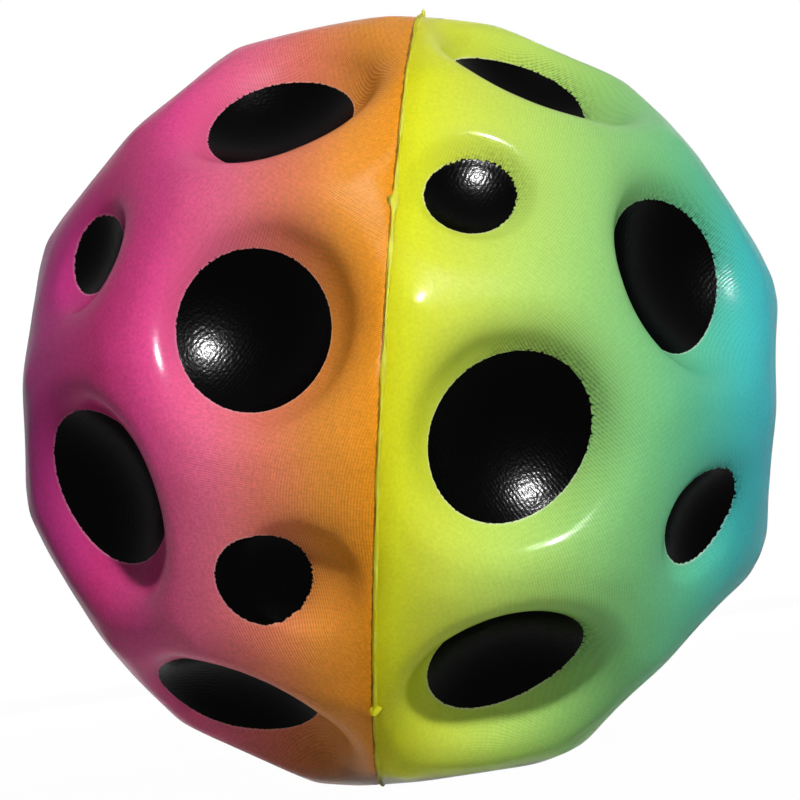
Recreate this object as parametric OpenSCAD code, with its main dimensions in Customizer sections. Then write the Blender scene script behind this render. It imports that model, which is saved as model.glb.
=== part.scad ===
// Cratered high-bounce foam ball, in millimetres, +Z up.
// The origin is the ball's centre. It rests on the rim of the small crater at the bottom.
// The mould's axis runs from left to right, so the seam between the two skins stands nearly upright.

/* [Ball] */
// Diameter over the lands between the craters
ball_d = 70; // [56:0.5:90]
// Thickness of the printed knit skin
skin_t = 0.6; // [0.3:0.05:1]
// Radius that rounds the rim of every crater
rim_r = 3.3; // [2.6:0.1:4]

/* [Large craters] */
// Land between two neighbouring large craters
large_land = 1.6; // [0.6:0.1:5]
// Depth of a large crater below the lands
large_depth = 6.1; // [4.6:0.1:7.6]
// Diameter of the black spot on its floor
large_spot_d = 14; // [9:0.2:18]

/* [Small craters] */
// Land between a small crater and its large neighbours
small_land = 2.7; // [1.2:0.1:4]
// Depth of a small crater below the lands
small_depth = 2.9; // [2.4:0.1:4]
// Diameter of the black spot on its floor
small_spot_d = 8.2; // [5:0.2:10]

/* [Print and seam] */
// Thickness of the black print
print_t = 0.15; // [0.1:0.01:0.3]
// How far the left half's print sits off its craters, toward that half's pole
left_print_shift = 1.1; // [0:0.1:2]
// Width of the flash along the seam
flash_w = 0.4; // [0.3:0.05:0.8]
// Height of the flash above the surface beside it
flash_h = 0.15; // [0.1:0.05:0.4]

/* [Hidden] */
overrun = 1;
ball_r = ball_d / 2;
half_turn = 180;
third_turn = 120;

// Layout: 20 large craters at the face centres of an icosahedron and 12 small ones at its corners.
// Polar angles are from the nearer pole of the mould's axis, which is a face centre itself.
inner_large_polar = acos(sqrt(5) / 3);
inner_small_polar = acos(sqrt((5 + 2 * sqrt(5)) / 15));
outer_large_polar = acos(1 / 3);
outer_small_polar = acos(sqrt((5 - 2 * sqrt(5)) / 15));
outer_large_turn = acos(sqrt(5 / 8));
turns = [0:2];
large_places = concat(
    [[0, 0]],
    [for (k = turns) [inner_large_polar, k * third_turn]],
    [for (k = turns, side = [-1, 1]) [outer_large_polar, k * third_turn + side * outer_large_turn]]);
small_places = concat(
    [for (k = turns) [inner_small_polar, (k + 1 / 2) * third_turn]],
    [for (k = turns) [outer_small_polar, k * third_turn]]);

// Crater profile: a round bowl, then a rim circle that rolls over onto the ball.
// The circles and the ball cross at a slight angle, so that no two surfaces only touch.
crossing = 8;
function arc_angle(arc) = arc / ball_r * half_turn / PI;
large_half = (inner_large_polar - arc_angle(large_land)) / 2;
small_half = inner_small_polar - large_half - arc_angle(small_land);
rim_dist = sqrt(ball_r ^ 2 + rim_r ^ 2 - 2 * ball_r * rim_r * cos(crossing));
function rim_centre(half) = rim_dist * [sin(half), cos(half)];
function bowl_r(half, depth) =
    let (c = rim_centre(half), rise = c.y - ball_r + depth)
    (c.x ^ 2 + rise ^ 2 - rim_r ^ 2) / (2 * (rise + rim_r * cos(crossing)));
function bowl_height(half, depth) = ball_r - depth + bowl_r(half, depth);

// Spots whose print lies elsewhere: away from the pole and across, as shares of the spot's diameter
drift_shares = [
    ["left_large_spot_3", [-0.10, 0.03]],
    ["left_large_spot_7", [-0.11, -0.03]],
    ["left_large_spot_8", [-0.06, -0.01]],
    ["left_large_spot_9", [-0.08, -0.04]],
    ["left_small_spot_2", [-0.04, 0.05]],
    ["left_small_spot_5", [-0.38, -0.11]],
    ["right_large_spot_4", [0.03, -0.03]],
    ["right_large_spot_5", [-0.09, -0.04]],
    ["right_large_spot_9", [0.08, -0.04]],
    ["right_small_spot_3", [-0.21, 0]],
    ["right_small_spot_6", [-0.02, 0.05]]];

// Frames
// From the mould's axis to the ball at rest, with an outer small crater turned straight down
module at_rest() { rotate([0, half_turn - outer_small_polar, 0]) children(); }

// The left half is the right half turned over about a line in the seam
module left_half() {
    rotate(a = half_turn, v = [cos(third_turn / 4), sin(third_turn / 4), 0]) children();
}

module placed(place) { rotate([0, place[0], place[1]]) children(); }

// What a crater removes, on its own axis; grow moves its surface into the ball
module crater(half, depth, grow) {
    c = rim_centre(half);
    floor_c = bowl_height(half, depth);
    outside = max(ball_r + depth, floor_c) + overrun;
    rotate_extrude() {
        intersection() {
            translate([0, floor_c]) circle(bowl_r(half, depth) + grow);
            translate([0, floor_c - ball_r]) square(ball_r);
        }
        difference() {
            polygon([[0, floor_c], c, c * outside / rim_dist, [0, outside]]);
            translate(c) circle(rim_r - grow);
        }
    }
}

module half_craters(grow) {
    for (place = large_places) placed(place) crater(large_half, large_depth, grow);
    for (place = small_places) placed(place) crater(small_half, small_depth, grow);
}

// The cratered ball with its whole surface moved inward by grow
module ball(grow) {
    difference() {
        sphere(ball_r - grow);
        half_craters(grow);
        left_half() half_craters(grow);
    }
}

// Everything on the right of the seam's flash
module right_space() {
    translate([-ball_d, -ball_d, flash_w / 2]) cube(2 * ball_d);
}

// The shell between the ball's surface and its core, inside the space given as a child
module skin() {
    difference() {
        intersection() {
            ball(0);
            children();
        }
        ball(skin_t);
    }
}

// Sub-parts
module foam_core() { color("ivory") at_rest() ball(skin_t); }

module left_skin() { color("mediumvioletred") at_rest() skin() left_half() right_space(); }

module right_skin() { color("yellowgreen") at_rest() skin() right_space(); }

module seam_flash() {
    color("khaki") at_rest() difference() {
        intersection() {
            ball(-flash_h);
            translate([-ball_d, -ball_d, -flash_w / 2]) cube([2 * ball_d, 2 * ball_d, flash_w]);
        }
        ball(skin_t);
    }
}

// Where the centre of a spot's print lies off its crater's axis
function listed(name) = [for (row = drift_shares) if (row[0] == name) row[1]];
function print_off(name, d, usual) = len(listed(name)) > 0 ? d * listed(name)[0] : [-usual, 0];

// A spot is a film of print on the crater's floor
module spot(half, depth, d, off) {
    color("black") difference() {
        intersection() {
            crater(half, depth, 0);
            translate([off.x, off.y, 0]) cylinder(h = ball_r, d = d);
        }
        crater(half, depth, -print_t);
    }
}

module large_spot(name, place, usual) {
    placed(place) spot(large_half, large_depth, large_spot_d, print_off(name, large_spot_d, usual));
}

module small_spot(name, place, usual) {
    placed(place) spot(small_half, small_depth, small_spot_d, print_off(name, small_spot_d, usual));
}

// The spot at the pole has no way to shift
function left_shift(place) = place[0] == 0 ? 0 : left_print_shift;

module left_large_spot(name, place) { at_rest() left_half() large_spot(name, place, left_shift(place)); }

module left_small_spot(name, place) { at_rest() left_half() small_spot(name, place, left_shift(place)); }

module right_large_spot(name, place) { at_rest() large_spot(name, place, 0); }

module right_small_spot(name, place) { at_rest() small_spot(name, place, 0); }

foam_core();
left_skin();
right_skin();
seam_flash();
for (k = [1:len(large_places)]) {
    left_name = str("left_large_spot_", k);
    right_name = str("right_large_spot_", k);
    left_large_spot(left_name, large_places[k - 1]);
    right_large_spot(right_name, large_places[k - 1]);
}
for (k = [1:len(small_places)]) {
    left_name = str("left_small_spot_", k);
    right_name = str("right_small_spot_", k);
    left_small_spot(left_name, small_places[k - 1]);
    right_small_spot(right_name, small_places[k - 1]);
}
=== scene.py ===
import math
import bpy
import numpy as np
from mathutils import Matrix, Vector


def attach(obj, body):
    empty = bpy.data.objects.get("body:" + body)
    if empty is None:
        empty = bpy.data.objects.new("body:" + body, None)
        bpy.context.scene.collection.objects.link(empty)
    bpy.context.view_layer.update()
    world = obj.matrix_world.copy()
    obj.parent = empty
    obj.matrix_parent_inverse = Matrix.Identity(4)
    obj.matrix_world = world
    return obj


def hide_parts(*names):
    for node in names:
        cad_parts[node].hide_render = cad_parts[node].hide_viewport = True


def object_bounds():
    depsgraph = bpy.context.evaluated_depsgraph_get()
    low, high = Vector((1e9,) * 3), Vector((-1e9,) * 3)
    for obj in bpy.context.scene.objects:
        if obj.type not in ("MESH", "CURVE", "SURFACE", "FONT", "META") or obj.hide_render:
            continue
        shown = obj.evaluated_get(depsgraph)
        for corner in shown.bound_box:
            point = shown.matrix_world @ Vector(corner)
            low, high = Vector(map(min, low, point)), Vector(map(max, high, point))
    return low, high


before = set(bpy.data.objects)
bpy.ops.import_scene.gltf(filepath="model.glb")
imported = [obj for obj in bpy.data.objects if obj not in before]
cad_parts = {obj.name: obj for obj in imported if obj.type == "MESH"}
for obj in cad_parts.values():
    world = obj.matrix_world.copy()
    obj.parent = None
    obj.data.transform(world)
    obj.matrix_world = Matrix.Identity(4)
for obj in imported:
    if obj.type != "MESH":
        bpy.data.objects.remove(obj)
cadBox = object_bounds()
scene = bpy.context.scene
scene.view_settings.view_transform = "Standard"
mm = 0.001

ball = {
    "radius": 35 * mm,        # over the lands
    "largeLand": 0.8 * mm,    # between two large craters
    "smallLand": 1.0 * mm,    # between a small crater and a large one
    # wall of a crater: distance from its axis and slope in degrees there, joined by arcs up to the land
    "largeWall": [(0, 0), (8.4 * mm, 46)],
    "smallWall": [(0, 0), (5.0 * mm, 38), (5.8 * mm, 10)],
    "wallSteps": 500,
    "cornerRound": 1.2,       # degrees, where three straight ridges meet
    "meetSmall": 40,          # degrees apart, at most, of a small crater and a large one that touch
    "meetLarge": 45,          # and of two large ones
}


# crater layout: face centres and corners of an icosahedron, about the mould's axis
def arcAngle(arc):
    return arc / ball["radius"]


thirdTurn = math.radians(120)
innerLarge = math.acos(math.sqrt(5) / 3)
innerSmall = math.acos(math.sqrt((5 + 2 * math.sqrt(5)) / 15))
outerLarge = math.acos(1 / 3)
outerSmall = math.acos(math.sqrt((5 - 2 * math.sqrt(5)) / 15))
outerTurn = math.acos(math.sqrt(5 / 8))
largeHalf = (innerLarge - arcAngle(ball["largeLand"])) / 2
smallHalf = innerSmall - largeHalf - arcAngle(ball["smallLand"])

largePlaces = [(0, 0)]
largePlaces += [(innerLarge, k * thirdTurn) for k in range(3)]
largePlaces += [(outerLarge, k * thirdTurn + way * outerTurn) for k in range(3) for way in (-1, 1)]
smallPlaces = [(innerSmall, (k + 0.5) * thirdTurn) for k in range(3)]
smallPlaces += [(outerSmall, k * thirdTurn) for k in range(3)]

# the mould's axis lies from left to right, with an outer small crater turned straight down
atRest = np.array(Matrix.Rotation(math.pi - outerSmall, 3, "Y"))
foldWay = Vector((math.cos(thirdTurn / 4), math.sin(thirdTurn / 4), 0))
turnOver = np.array(Matrix.Rotation(math.pi, 3, foldWay))
halfFrames = {"right": atRest, "left": atRest @ turnOver}

# black print: its sizes, its stretch in each half, and which way its fibres fray
printLook = {
    "largeRadius": 7.0 * mm,
    "smallRadius": 4.0 * mm,
    "stretch": {"left": (0.03, 115), "right": (0.07, 50)},   # share, and degrees from the line off the pole
    # direction and strength of the fray, and how narrowly it keeps to that direction
    "fray": {"left": ((-0.5, 0, 0.85), 0.5), "right": ((0.75, 0, 0.65), 1.0)},
    "frayAlone": {"left_small_spot_5": ((1, 0, -0.2), 0.8)},
    "frayFocus": 0.75,
    "farEdge": 5.0,      # millimetres outside the print, beyond which the skin has no marks of it
    "apart": 20.0,       # so that no two prints fray alike
    # off the CAD film: millimetres away from the pole and across, and share of its size
    "nudge": {
        "left_large_spot_3": (-0.45, -0.3, 0.98), "left_large_spot_7": (-0.9, -0.3, 1.02),
        "left_large_spot_8": (-0.35, 0.1, 0.98), "left_large_spot_9": (0.2, 0.8, 0.95),
        "left_small_spot_2": (-0.3, 0.7, 0.9), "left_small_spot_5": (-0.25, 0.1, 1.0),
        "right_large_spot_4": (0.0, -0.2, 1.03), "right_large_spot_5": (0.7, 0.0, 0.98),
        "right_large_spot_9": (-0.2, -0.6, 0.92), "right_large_spot_10": (-0.2, 0.1, 1.01),
        "right_small_spot_3": (0.9, -0.35, 1.06), "right_small_spot_6": (0.2, -0.15, 0.98)},
}


class Crater:
    # one dent: a round bowl, then a rim that rolls over onto the land
    def __init__(self, name, side, size, place):
        self.name = name
        self.side = side
        self.half = largeHalf if size == "large" else smallHalf
        turn = Matrix.Rotation(place[1], 3, "Z") @ Matrix.Rotation(place[0], 3, "Y")
        self.axes = halfFrames[side] @ np.array(turn)   # columns: away from the pole, across, outward
        edge = ball["radius"] * math.sin(self.half)
        wall = ball[size + "Wall"] + [(edge, -math.degrees(self.half))]
        knots, slopes = np.array(wall).T
        self.off = np.linspace(0, edge, ball["wallSteps"])
        sine = np.interp(self.off, knots, np.sin(np.radians(slopes)))
        slope = sine / np.sqrt(1 - sine ** 2)
        rise = np.append(0, np.cumsum((slope[1:] + slope[:-1]) / 2 * np.diff(self.off)))
        self.height = rise - rise[-1] + ball["radius"] * math.cos(self.half)
        away, across, share = printLook["nudge"].get(name, (0, 0, 1))
        self.inkRadius = printLook[size + "Radius"] * share
        self.inkCentre = self.findInk() + np.array((away, across)) * mm
        self.frayWay, self.fray = printLook["frayAlone"].get(name, printLook["fray"][side])

    # the middle of the CAD film, across the crater's axis
    def findInk(self):
        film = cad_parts[self.name].data
        points = np.empty(len(film.vertices) * 3)
        film.vertices.foreach_get("co", points)
        flat = (points.reshape(-1, 3) @ self.axes)[:, :2]
        return (flat.min(0) + flat.max(0)) / 2

    # print outline: an ellipse, in turned axes
    def inkAxes(self):
        stretch, turn = printLook["stretch"][self.side]
        turn = math.radians(turn)
        way = np.array([[math.cos(turn), -math.sin(turn)], [math.sin(turn), math.cos(turn)]])
        return way, np.array([1 + stretch, 1 - stretch])

    # distance of the surface from the ball's centre, at an angle from the crater's axis
    def radiusAt(self, angle):
        return np.interp(angle, np.arctan2(self.off, self.height), np.hypot(self.off, self.height))

    # height of the surface along the axis, at a distance from it
    def heightAt(self, off):
        land = np.sqrt(np.maximum(ball["radius"] ** 2 - off ** 2, 0))
        return np.where(off < self.off[-1], np.interp(off, self.off, self.height), land)


craters = []
for side in ("left", "right"):
    for size, places in (("large", largePlaces), ("small", smallPlaces)):
        for k, place in enumerate(places):
            craters.append(Crater(f"{side}_{size}_spot_{k + 1}", side, size, place))


# corners where a small crater and two large ones meet
def findCorners():
    small = [crater.axes[:, 2] for crater in craters if crater.half == smallHalf]
    large = [crater.axes[:, 2] for crater in craters if crater.half == largeHalf]
    nearSmall = math.cos(math.radians(ball["meetSmall"]))
    nearLarge = math.cos(math.radians(ball["meetLarge"]))
    found = []
    for one in small:
        ring = [way for way in large if way @ one > nearSmall]
        for k, way in enumerate(ring):
            for other in ring[k + 1:]:
                if way @ other > nearLarge:
                    middle = one + way + other
                    found.append(middle / np.linalg.norm(middle))
    return np.array(found)


corners = findCorners()
ridgeHalf = math.acos(np.sort(corners @ corners.T, axis=1)[:, -2].max()) / 2
print("layout:", len(craters), "craters and", len(corners), "corners")


def surfaceRadius(ways):
    out = np.full(len(ways), ball["radius"])
    for crater in craters:
        angle = np.arccos(np.clip(ways @ crater.axes[:, 2], -1, 1))
        near = angle < crater.half
        out[near] = np.minimum(out[near], crater.radiusAt(angle[near]))
    # the ridges run straight from corner to corner
    away = np.arccos(np.clip((ways @ corners.T).max(1), -1, 1))
    away = np.minimum(np.hypot(away, math.radians(ball["cornerRound"])), ridgeHalf)
    return out / np.cos(ridgeHalf - away)


# place on the flat sheet that each half was wrapped in, in metres from its pole
def onSheet(side, points):
    local = points @ halfFrames[side]
    polar = np.arctan2(np.hypot(local[:, 0], local[:, 1]), local[:, 2])
    around = np.arctan2(local[:, 1], local[:, 0])
    return np.stack([np.cos(around), np.sin(around)], 1) * (polar * ball["radius"])[:, None]


def addMesh(name, points, faces):
    mesh = bpy.data.meshes.new(name)
    mesh.from_pydata(points.tolist(), [], faces)
    mesh.polygons.foreach_set("use_smooth", [True] * len(mesh.polygons))
    piece = bpy.data.objects.new(name, mesh)
    scene.collection.objects.link(piece)
    return piece


def addMap(piece, label, places):
    mesh = piece.data
    corner = np.empty(len(mesh.loops), dtype=np.int32)
    mesh.loops.foreach_get("vertex_index", corner)
    layer = mesh.uv_layers.new(name=label)
    layer.uv.foreach_set("vector", places[corner].astype(np.float32).ravel())


def gridFaces(rows, columns):
    at = np.arange(rows * columns).reshape(rows, columns)
    return np.stack([at[:-1, :-1], at[1:, :-1], at[1:, 1:], at[:-1, 1:]], -1).reshape(-1, 4).tolist()


class Shade:
    # a value in a shader tree, so that shader maths reads as Python
    def __init__(self, tree, socket=None):
        self.tree = tree
        self.socket = socket

    def add(self, kind, settings=None, sockets=None, out=0):
        made = self.tree.nodes.new(kind)
        for key, value in (settings or {}).items():
            if key == "stops":
                ramp = made.color_ramp
                while len(ramp.elements) < len(value):
                    ramp.elements.new(0.5)
                for stop, (place, colour) in zip(ramp.elements, value):
                    stop.position = place
                    stop.color = (*colour, 1)
            else:
                setattr(made, key, value)
        pairs = sockets.items() if isinstance(sockets, dict) else enumerate(sockets or [])
        for key, value in pairs:
            self.plug(made.inputs[key], value)
        return Shade(self.tree, made.outputs[out])

    def plug(self, socket, value):
        if isinstance(value, Shade):
            self.tree.links.new(value.socket, socket)
        else:
            socket.default_value = value

    def math(self, operation, *values):
        return self.add("ShaderNodeMath", {"operation": operation}, values)

    def __add__(self, other):
        return self.math("ADD", self, other)

    def __radd__(self, other):
        return self.math("ADD", other, self)

    def __sub__(self, other):
        return self.math("SUBTRACT", self, other)

    def __rsub__(self, other):
        return self.math("SUBTRACT", other, self)

    def __mul__(self, other):
        return self.math("MULTIPLY", self, other)

    def __rmul__(self, other):
        return self.math("MULTIPLY", other, self)


def newMaterial(name):
    material = bpy.data.materials.new(name)
    material.use_nodes = True
    tree = material.node_tree
    return material, Shade(tree), tree.nodes["Principled BSDF"].inputs


def smoothStep(value, low, high):
    return value.add("ShaderNodeMapRange", {"interpolation_type": "SMOOTHSTEP"},
                     {"Value": value, "From Min": low, "From Max": high})


def mixColour(fac, first, second):
    return fac.add("ShaderNodeMix", {"data_type": "RGBA"}, {"Factor": fac, 6: first, 7: second}, 2)


def noise(place, scale, detail=2.0):
    return place.add("ShaderNodeTexNoise", {}, {"Vector": place, "Scale": scale, "Detail": detail})


def dot(place, way):
    return place.add("ShaderNodeVectorMath", {"operation": "DOT_PRODUCT"}, [place, tuple(way)], 1)


def bumpFrom(height, strength, depth):
    return height.add("ShaderNodeBump", {}, {"Strength": strength, "Distance": depth, "Height": height})


# knit of the printed sheet: two families of fine wavy lines
knitLook = {
    "skin": {"pitch": 0.25 * mm, "wave": 6.0, "waver": 2.5},    # how far the rows wander, in radians
    "black": {"pitch": 0.42 * mm, "wave": 15.0, "waver": 3.0},
    "waveScale": 260.0,
    "waverScale": 1300.0,
    "turn": 41,            # degrees from the sheet's first line
    "crossPitch": 1.9,     # of the rows that cross, in pitches
    "patchScale": 60.0,    # patches in which one family or the other shows
    "patchFade": (0.42, 0.58),
}


def knitLines(place, sheet, layer):
    look = knitLook[layer]
    wander = (noise(place, knitLook["waveScale"], 3.0) - 0.5) * look["wave"]
    wander = wander + (noise(place, knitLook["waverScale"], 1.0) - 0.5) * look["waver"]

    def family(turn, pitch):
        turn = math.radians(knitLook["turn"] + turn)
        along = dot(sheet, (math.cos(turn), math.sin(turn), 0))
        phase = along * (2 * math.pi / pitch) + wander
        return phase.math("SINE", phase) * 0.5 + 0.5

    # rows broken into stitches by the rows that cross them
    def stitches(turn):
        crossing = family(90 - turn, look["pitch"] * knitLook["crossPitch"])
        return family(turn, look["pitch"]) * (crossing * 0.5 + 0.5)

    patch = smoothStep(noise(place, knitLook["patchScale"], 1.0), *knitLook["patchFade"])
    return stitches(0) * patch + stitches(90) * (1 - patch)


# skins
skinLook = {
    "grid": 320,              # cells across one half
    "lip": 0.3 * mm,          # how far the edge at the seam turns in
    "lipDepth": {"left": 0.1 * mm, "right": 0.03 * mm},
    "seamGap": 0.05 * mm,
    # colours by the share of the radius from the seam to the pole
    "stops": {
        "left": [
            (0.00, (0.75, 0.275, 0.012)), (0.13, (0.75, 0.275, 0.042)), (0.27, (0.74, 0.195, 0.12)),
            (0.42, (0.74, 0.135, 0.24)), (0.58, (0.69, 0.064, 0.245)), (0.72, (0.55, 0.036, 0.18)),
            (0.86, (0.46, 0.034, 0.20)), (1.00, (0.38, 0.032, 0.235))],
        "right": [
            (0.00, (0.60, 0.58, 0.010)), (0.05, (0.66, 0.71, 0.020)), (0.14, (0.60, 0.69, 0.060)),
            (0.30, (0.45, 0.65, 0.12)), (0.46, (0.30, 0.57, 0.155)), (0.63, (0.18, 0.52, 0.205)),
            (0.75, (0.10, 0.475, 0.285)), (0.85, (0.055, 0.46, 0.43)), (1.00, (0.04, 0.38, 0.51))]},
    "cloudScale": 70.0,
    "cloudShift": 0.05,       # how far a cloud moves the colours
    "cloudShade": 0.12,
    # painted shade of the gap at the seam, ragged along the left sheet's cut edge
    "seamGapShadeColour": (0.14, 0.06, 0.006, 1),
    "gapShadeScale": 1500.0,
    "gapShadeReach": 0.008,
    "gapShadeFade": (0.001, 0.004),
    "seamGapShadeStrength": 0.8,
    # between these shares the knit goes (-1) or comes (1)
    "knitFade": {"left": (0.25, 0.6, -1), "right": (0.05, 0.4, 1)},
    "knitShade": {"left": 0.22, "right": 0.16},
    "knitHeight": {"left": 2.4, "right": 0.8},
    "fuzzScale": 3300.0,
    "fuzzShade": {"left": 0.5, "right": 0.24},
    # edge of the black print, in millimetres: reach of its fibres, and what fray adds to it
    "ink": (0.0003, 0.0003, 0.0003, 1),
    "inkFade": (-0.02, 0.05),
    "strandScale": 4.2,
    "strandMiddle": 0.4,
    "strandReach": (0.08, 0.16),
    "fuzzReach": (0.3, 0.5),
    "sootFall": 1.0,
    "sootFade": (-0.2, 0.2),
    "thread": (0.75, 0.75, 0.68, 1),                # pale fibres where the print isn't frayed
    "threadFade": (0.05, 0.22),
    "threadShade": {"left": 0.4, "right": 0.9},
    # finish
    "grainScale": 2600.0,
    "grainHeight": 0.5,
    "pebbleScale": 1500.0,
    "bump": 0.35,
    "bumpDepth": 0.05 * mm,
    "roughness": (0.18, 0.12),    # least, and what the grain adds
    "specular": 0.01,
    "coat": 0.055,
    "coatFade": (0.01, 0.03),
    "coatRoughness": 0.12,
}


# marks on the skin: distance outside the nearest print, the way out from its middle, and how far it frays
def inkMarks(points):
    edge = np.full(len(points), printLook["farEdge"])
    way = np.zeros((len(points), 3))
    fray = np.zeros(len(points))
    focus = printLook["frayFocus"]
    for k, crater in enumerate(craters):
        local = points @ crater.axes
        flat = local[:, :2] - crater.inkCentre
        turn, stretch = crater.inkAxes()
        off = np.linalg.norm((flat @ turn) / stretch, axis=1)
        out = (off - crater.inkRadius) / mm
        near = (local[:, 2] > 0) & (out < edge)
        unit = flat[near] / np.maximum(np.linalg.norm(flat[near], axis=1), 1e-6)[:, None]
        toward = np.array(crater.frayWay) @ crater.axes[:, :2]
        toward /= np.linalg.norm(toward)
        edge[near] = out[near]
        way[near, :2] = unit * crater.inkRadius / mm
        way[near, 2] = printLook["apart"] * k
        fray[near] = crater.fray * np.clip(unit @ toward * focus + 1 - focus, 0, 1)
    return edge, way, fray


def skinMaterial(side):
    look = skinLook
    material, shade, shader = newMaterial(side + "KnitPrint")
    place = shade.add("ShaderNodeTexCoord", out=3)
    sheet = shade.add("ShaderNodeUVMap", {"uv_map": "sheet"})
    cloud = noise(place, look["cloudScale"], 3.0) - 0.5
    share = dot(place, halfFrames[side][:, 2]) * (1 / ball["radius"])
    along = share + cloud * look["cloudShift"]
    colour = shade.add("ShaderNodeValToRGB", {"stops": look["stops"][side]}, [along])

    # painted shade of the gap at the seam, ragged along the left sheet's cut edge
    if side == "left":
        ragged = noise(place, look["gapShadeScale"]) * look["gapShadeReach"]
        gapShadeNotch = 1 - smoothStep(share - ragged, *look["gapShadeFade"])
        # darkens the colour where the gap beside the flash would be in shade
        colour = mixColour(gapShadeNotch * look["seamGapShadeStrength"], colour, look["seamGapShadeColour"])

    # knit lines, near the seam on the left and away from it on the right, and fuzz everywhere
    knit = knitLines(place, sheet, "skin")
    low, high, change = look["knitFade"][side]
    clear = smoothStep(share, low, high) * change + max(0, -change)
    fuzz = noise(place, look["fuzzScale"]) - 0.5
    tone = 1 + (0.5 - knit) * clear * look["knitShade"][side]
    tone = tone + fuzz * look["fuzzShade"][side] + cloud * look["cloudShade"]
    colour = shade.add("ShaderNodeVectorMath", {"operation": "SCALE"}, {0: colour, "Scale": tone})

    # black print: frayed fibres, soot among them, and pale threads elsewhere
    edge = shade.add("ShaderNodeAttribute", {"attribute_name": "inkEdge"}, out=2)
    way = shade.add("ShaderNodeAttribute", {"attribute_name": "inkWay"}, out=1)
    fray = shade.add("ShaderNodeAttribute", {"attribute_name": "inkFray"}, out=2)
    strand = noise(way, look["strandScale"])
    least, more = look["strandReach"]
    reach = (strand - look["strandMiddle"]) * (fray * more + least)
    least, more = look["fuzzReach"]
    reach = reach + fuzz * (fray * more + least)
    black = 1 - smoothStep(edge - reach, *look["inkFade"])
    outside = edge.math("MAXIMUM", edge, 0.0)
    speck = smoothStep(fuzz, *look["sootFade"]) * 0.5 + knit * 0.5
    soot = edge.math("EXPONENT", outside * -look["sootFall"]) * fray * speck
    thread = (1 - smoothStep(outside, *look["threadFade"])) * (1 - fray) * strand * look["threadShade"][side]
    colour = mixColour(thread, colour, look["thread"])
    dark = black.math("MAXIMUM", black, soot)
    shade.plug(shader["Base Color"], mixColour(dark, colour, look["ink"]))

    grain = noise(place, look["grainScale"])
    pebble = noise(place, look["pebbleScale"])
    height = knit * clear * look["knitHeight"][side] + grain * look["grainHeight"] + pebble
    shade.plug(shader["Normal"], bumpFrom(height, look["bump"], look["bumpDepth"]))
    least, more = look["roughness"]
    shade.plug(shader["Roughness"], grain * more + least)
    shade.plug(shader["Coat Weight"], smoothStep(share, *look["coatFade"]) * look["coat"])
    shader["Specular IOR Level"].default_value = look["specular"]
    shader["Coat Roughness"].default_value = look["coatRoughness"]
    return material


def makeSkin(side):
    count = skinLook["grid"] + 1
    x, y = np.meshgrid(np.linspace(-1, 1, count), np.linspace(-1, 1, count))
    x = x.ravel()
    y = y.ravel()
    # square cells bent onto a disc, then wrapped over the half ball
    wide = np.abs(x) >= np.abs(y)
    reach = np.where(wide, x, y)
    other = np.where(wide, y, x)
    turn = np.pi / 4 * np.divide(other, reach, out=np.zeros_like(x), where=reach != 0)
    u = np.where(wide, reach * np.cos(turn), reach * np.sin(turn))
    v = np.where(wide, reach * np.sin(turn), reach * np.cos(turn))
    seam = math.pi / 2 - arcAngle(skinLook["seamGap"])
    polar = np.hypot(u, v) * seam
    around = np.arctan2(v, u)
    ways = np.stack([np.sin(polar) * np.cos(around), np.sin(polar) * np.sin(around), np.cos(polar)], 1)
    ways = ways @ halfFrames[side].T
    lip = np.clip(1 - (seam - polar) * ball["radius"] / skinLook["lip"], 0, 1)
    radius = surfaceRadius(ways) - skinLook["lipDepth"][side] * lip ** 2
    points = ways * radius[:, None]
    piece = addMesh(side + "Skin", points, gridFaces(count, count))
    addMap(piece, "OFBake", np.stack([x, y], 1) * 0.495 + 0.5)
    addMap(piece, "sheet", onSheet(side, points))
    edge, way, fray = inkMarks(points)
    marks = piece.data.attributes
    marks.new("inkEdge", "FLOAT", "POINT").data.foreach_set("value", edge.astype(np.float32))
    marks.new("inkWay", "FLOAT_VECTOR", "POINT").data.foreach_set("vector", way.astype(np.float32).ravel())
    marks.new("inkFray", "FLOAT", "POINT").data.foreach_set("value", fray.astype(np.float32))
    piece.data.materials.append(skinMaterial(side))
    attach(piece, "root")
    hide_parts(side + "_skin")


for side in ("left", "right"):
    makeSkin(side)
print("skins made")

# spots
spotLook = {
    "film": 0.02 * mm,
    "inset": 0.12 * mm,     # the skin carries the frayed edge outside this
    "rings": 14,
    "spokes": 200,
    "hem": 1.02,            # share of the radius at the film's outermost ring
    "hemLift": 0.3,         # share of the film's thickness there
    "deepBlack": (0.0001, 0.0001, 0.0001, 1),
    "paleBlack": (0.0004, 0.0004, 0.0004, 1),
    "cloudScale": 150.0,
    "knitHeight": 0.25,
    "grainScale": 3600.0,
    "pebbleScale": 1300.0,
    "pebbleHeight": 0.3,
    "bump": 0.5,
    "bumpDepth": 0.06 * mm,
    "roughness": (0.16, 0.1),     # least, and what the grain adds
    "specular": 0.02,
}


def spotMaterial():
    look = spotLook
    material, shade, shader = newMaterial("blackPrint")
    place = shade.add("ShaderNodeTexCoord", out=3)
    sheet = shade.add("ShaderNodeUVMap", {"uv_map": "sheet"})
    knit = knitLines(place, sheet, "black")
    grain = noise(place, look["grainScale"])
    pebble = noise(place, look["pebbleScale"])
    cloud = noise(place, look["cloudScale"])
    shade.plug(shader["Base Color"], mixColour(cloud, look["deepBlack"], look["paleBlack"]))
    height = knit * look["knitHeight"] + grain + pebble * look["pebbleHeight"]
    shade.plug(shader["Normal"], bumpFrom(height, look["bump"], look["bumpDepth"]))
    least, more = look["roughness"]
    shade.plug(shader["Roughness"], grain * more + least)
    shader["Specular IOR Level"].default_value = look["specular"]
    return material


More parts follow.
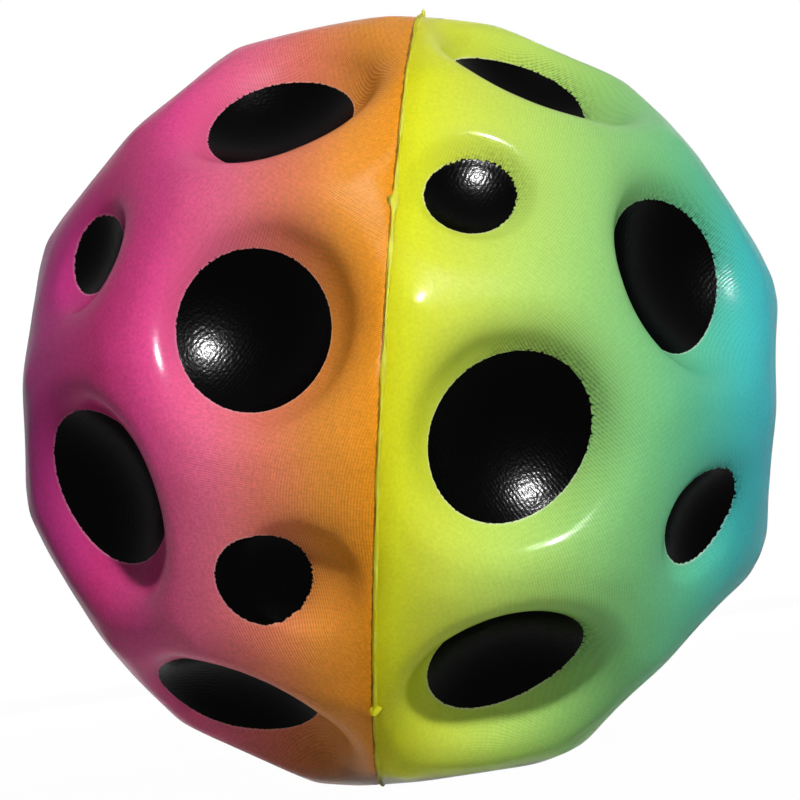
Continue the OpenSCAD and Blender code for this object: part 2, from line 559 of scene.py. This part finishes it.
def makeSpot(crater, material):
    rings = spotLook["rings"]
    spokes = spotLook["spokes"]
    spin = np.linspace(0, 2 * np.pi, spokes, endpoint=False)
    shares = np.append(np.linspace(0, 1, rings)[1:], spotLook["hem"])
    ring = np.stack([np.cos(spin), np.sin(spin)], 1)
    turn, stretch = crater.inkAxes()
    unit = np.concatenate([np.zeros((1, 2)), (shares[:, None, None] * ring).reshape(-1, 2)])
    flat = (unit * (crater.inkRadius - spotLook["inset"]) * stretch) @ turn.T + crater.inkCentre
    local = np.column_stack([flat, crater.heightAt(np.hypot(flat[:, 0], flat[:, 1]))])
    ways = local @ crater.axes.T
    ways /= np.linalg.norm(ways, axis=1)[:, None]
    lift = np.full(len(ways), spotLook["film"])
    lift[-spokes:] *= spotLook["hemLift"]
    points = ways * (surfaceRadius(ways) + lift)[:, None]
    at = np.arange(rings * spokes).reshape(rings, spokes) + 1
    after = np.roll(at, -1, axis=1)
    faces = np.stack([np.zeros(spokes, dtype=int), at[0], after[0]], -1).tolist()
    faces += np.stack([at[:-1], at[1:], after[1:], after[:-1]], -1).reshape(-1, 4).tolist()
    side, size, _, number = crater.name.split("_")
    piece = addMesh(side + size.title() + "Spot" + number, points, faces)
    addMap(piece, "OFBake", unit * 0.48 + 0.5)
    addMap(piece, "sheet", onSheet(crater.side, points))
    piece.data.materials.append(material)
    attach(piece, "root")
    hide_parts(crater.name)


black = spotMaterial()
for crater in craters:
    makeSpot(crater, black)
print("spots made")

# seam flash: a thin ragged strip of foam, with a few lumps and fins
flashLook = {
    "steps": 2400,
    "seed": 7,
    "width": 0.42 * mm,
    "shift": 0.07 * mm,       # toward the right half
    "height": 0.14 * mm,
    "ragged": 0.07 * mm,
    # roughness along the seam: spread in steps, and how strong
    "crestWaves": [(14, 0.7), (3, 0.5)],
    "widthWave": (10, 0.22),
    "leanWave": (24, 0.05 * mm),
    "crestRange": (0.03 * mm, 0.4 * mm),
    "halfRange": (0.08 * mm, 0.35 * mm),
    # degrees round the seam from the bottom, degrees wide, height, width, shift
    "lumps": [
        (-39, 0.9, 0.55 * mm, 0.75 * mm, 0),
        (-115.3, 1.3, 0.1 * mm, 0.3 * mm, -0.6 * mm),
        (-176, 0.5, 1.1 * mm, 0.05 * mm, 0),
        (4, 0.5, 0.6 * mm, 0.1 * mm, 0),
        (62, 0.7, 0.4 * mm, 0.4 * mm, 0),
        (131, 0.6, 0.4 * mm, 0.2 * mm, 0)],
    "lumpBell": 0.6,
    # cross-section from the left foot over the crest to the right foot: across, up, lean
    "section": [
        (-1.1, -1.5, 0), (-0.9, 0.1, 0), (-0.5, 0.75, 0.5), (0, 1, 1),
        (0.5, 0.75, 0.5), (0.9, 0.1, 0), (1.1, -1.5, 0)],
    "paleFoam": (0.67, 0.66, 0.06, 1),
    "deepFoam": (0.56, 0.52, 0.012, 1),
    "patchScale": 420.0,
    "patchFade": (0.3, 0.7),
    "roughness": (0.4, 0.2),
    "grainScale": 2500.0,
    "bump": 0.3,
    "bumpDepth": 0.1 * mm,
    "specular": 0.02,
}


def flashMaterial():
    look = flashLook
    material, shade, shader = newMaterial("flashFoam")
    place = shade.add("ShaderNodeTexCoord", out=3)
    patch = smoothStep(noise(place, look["patchScale"], 3.0), *look["patchFade"])
    shade.plug(shader["Base Color"], mixColour(patch, look["deepFoam"], look["paleFoam"]))
    least, more = look["roughness"]
    shade.plug(shader["Roughness"], patch * more + least)
    grain = noise(place, look["grainScale"])
    shade.plug(shader["Normal"], bumpFrom(grain, look["bump"], look["bumpDepth"]))
    shader["Specular IOR Level"].default_value = look["specular"]
    return material


def makeFlash():
    look = flashLook
    steps = look["steps"]
    spin = np.linspace(0, 2 * np.pi, steps, endpoint=False)
    draws = np.random.default_rng(look["seed"])

    def rough(spread, strength):
        reach = 3 * spread
        kernel = np.exp(-0.5 * (np.arange(-reach, reach + 1) / spread) ** 2)
        raw = np.pad(draws.normal(0, 1, steps), reach, mode="wrap")
        return strength * np.convolve(raw, kernel / np.sqrt((kernel ** 2).sum()), "valid")

    crest = sum(rough(*wave) for wave in look["crestWaves"])
    height = np.clip(look["height"] + look["ragged"] * crest, *look["crestRange"])
    half = np.clip(look["width"] / 2 * (1 + rough(*look["widthWave"])), *look["halfRange"])
    lean = rough(*look["leanWave"])
    for at, wide, tall, thick, aside in look["lumps"]:
        off = np.degrees(np.angle(np.exp(1j * (spin - math.radians(at)))))
        swell = np.exp(-0.5 * (off / (wide * look["lumpBell"])) ** 2)
        height += tall * swell
        half += thick / 2 * swell
        lean += aside * swell

    ways = np.stack([np.cos(spin), np.sin(spin), 0 * spin], 1) @ atRest.T
    radius = surfaceRadius(ways)
    across = atRest[:, 2]
    points = []
    for side, up, bend in look["section"]:
        base = ways * (radius + up * np.where(up < 0, look["height"], height))[:, None]
        points.append(base + across * (side * half + bend * lean + look["shift"])[:, None])
    points = np.concatenate(points)
    at = np.arange(len(points)).reshape(len(look["section"]), steps)
    after = np.roll(at, -1, axis=1)
    faces = np.stack([at[:-1], after[:-1], after[1:], at[1:]], -1).reshape(-1, 4).tolist()
    piece = addMesh("seamFlash", points, faces)
    piece.data.materials.append(flashMaterial())
    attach(piece, "root")
    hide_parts("seam_flash")


# core
coreLook = {
    "pale": (0.86, 0.82, 0.70, 1),
    "deep": (0.70, 0.64, 0.50, 1),
    "cellScale": 1500.0,
    "roughness": (0.7, 0.2),
    "bump": 0.3,
    "bumpDepth": 0.2 * mm,
}


def dressCore():
    look = coreLook
    material, shade, shader = newMaterial("mouldedFoam")
    place = shade.add("ShaderNodeTexCoord", out=3)
    cells = noise(place, look["cellScale"], 3.0)
    shade.plug(shader["Base Color"], mixColour(cells, look["deep"], look["pale"]))
    least, more = look["roughness"]
    shade.plug(shader["Roughness"], cells * more + least)
    shade.plug(shader["Normal"], bumpFrom(cells, look["bump"], look["bumpDepth"]))
    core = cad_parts["foam_core"]
    core.data.materials.clear()
    core.data.materials.append(material)


makeFlash()
dressCore()
print("flash and core made")

# camera at the photograph's view
shot = {
    "azimuth": 2.5,
    "elevation": -3.65,
    "roll": 7.85,
    "distance": 311.4 * mm,
    "lens": 153.35,
    "sensor": 36,
    "nearest": 0.01,
    "aside": (-0.37 * mm, 0.18 * mm),
}


def shotAxes():
    a, e, r = (math.radians(shot[key]) for key in ("azimuth", "elevation", "roll"))
    back = Vector((math.sin(a) * math.cos(e), -math.cos(a) * math.cos(e), math.sin(e)))
    level = Vector((math.cos(a), math.sin(a), 0))
    steep = back.cross(level)
    return level * math.cos(r) - steep * math.sin(r), steep * math.cos(r) + level * math.sin(r), back


right, up, back = shotAxes()


def fromShot(x, y, z):
    return right * x + up * y + back * z


camera = bpy.data.objects.new("camera", bpy.data.cameras.new("camera"))
scene.collection.objects.link(camera)
camera.matrix_world = Matrix((right, up, back)).transposed().to_4x4()
camera.location = fromShot(*shot["aside"], shot["distance"])
camera.data.lens = shot["lens"]
camera.data.sensor_width = shot["sensor"]
camera.data.clip_start = shot["nearest"]
scene.camera = camera

# light: a small lamp high behind the camera, one for the far side, their glints, and a soft room
lights = {
    "front": (0.17, 0.575, 0.80),
    "rear": (0, 0, -1),
    "far": 0.9,
    "size": 0.03,
    "power": 7.8,
    "glint": 125.0,     # seen by gloss alone
    "room": 0.012,
}
for way in ("front", "rear"):
    for kind in ("power", "glint"):
        lamp = bpy.data.lights.new(way + kind.title(), "AREA")
        lamp.size = lights["size"]
        lamp.energy = lights[kind]
        lampPiece = bpy.data.objects.new(lamp.name, lamp)
        lampPiece.visible_diffuse = kind == "power"
        lampPiece.visible_glossy = kind == "glint"
        scene.collection.objects.link(lampPiece)
        lampPlace = fromShot(*lights[way]).normalized() * lights["far"]
        lampPiece.location = lampPlace
        lampPiece.rotation_euler = (-lampPlace).to_track_quat("-Z", "Y").to_euler()


# one where the camera, a gloss or a clear surface looks, else zero
def looked(shade):
    seen = shade.add("ShaderNodeLightPath")
    ways = seen.socket.node.outputs
    gloss = Shade(shade.tree, ways["Is Glossy Ray"])
    clear = Shade(shade.tree, ways["Is Transmission Ray"])
    seen = seen.math("MAXIMUM", seen, gloss)
    return seen.math("MAXIMUM", seen, clear)


world = bpy.data.worlds.new("studio")
scene.world = world
world.use_nodes = True
shade = Shade(world.node_tree)
backdrop = world.node_tree.nodes["Background"].inputs
shade.plug(backdrop["Strength"], looked(shade) * (1 - lights["room"]) + lights["room"])
backdrop["Color"].default_value = (1, 1, 1, 1)

# floor
floorLook = {"size": 1.5, "colour": (0.55, 0.55, 0.55, 1), "roughness": 0.9, "glow": 0.985}
low = cadBox[0][2]
half = floorLook["size"]
floorPoints = np.array([(-half, -half, low), (half, -half, low), (half, half, low), (-half, half, low)])
floor = addMesh("floor", floorPoints, [[0, 1, 2, 3]])
material, shade, shader = newMaterial("paleFloor")
shader["Base Color"].default_value = floorLook["colour"]
shader["Roughness"].default_value = floorLook["roughness"]
shader["Specular IOR Level"].default_value = 0
glow = shade.add("ShaderNodeEmission", {}, {"Color": (1, 1, 1, 1), "Strength": 1.0})
plain = Shade(shade.tree, shade.tree.nodes["Principled BSDF"].outputs[0])
blend = shade.add("ShaderNodeMixShader", {}, {0: looked(shade) * floorLook["glow"], 1: plain, 2: glow})
shade.plug(shade.tree.nodes["Material Output"].inputs["Surface"], blend)
floor.data.materials.append(material)
print("camera, light and floor made")
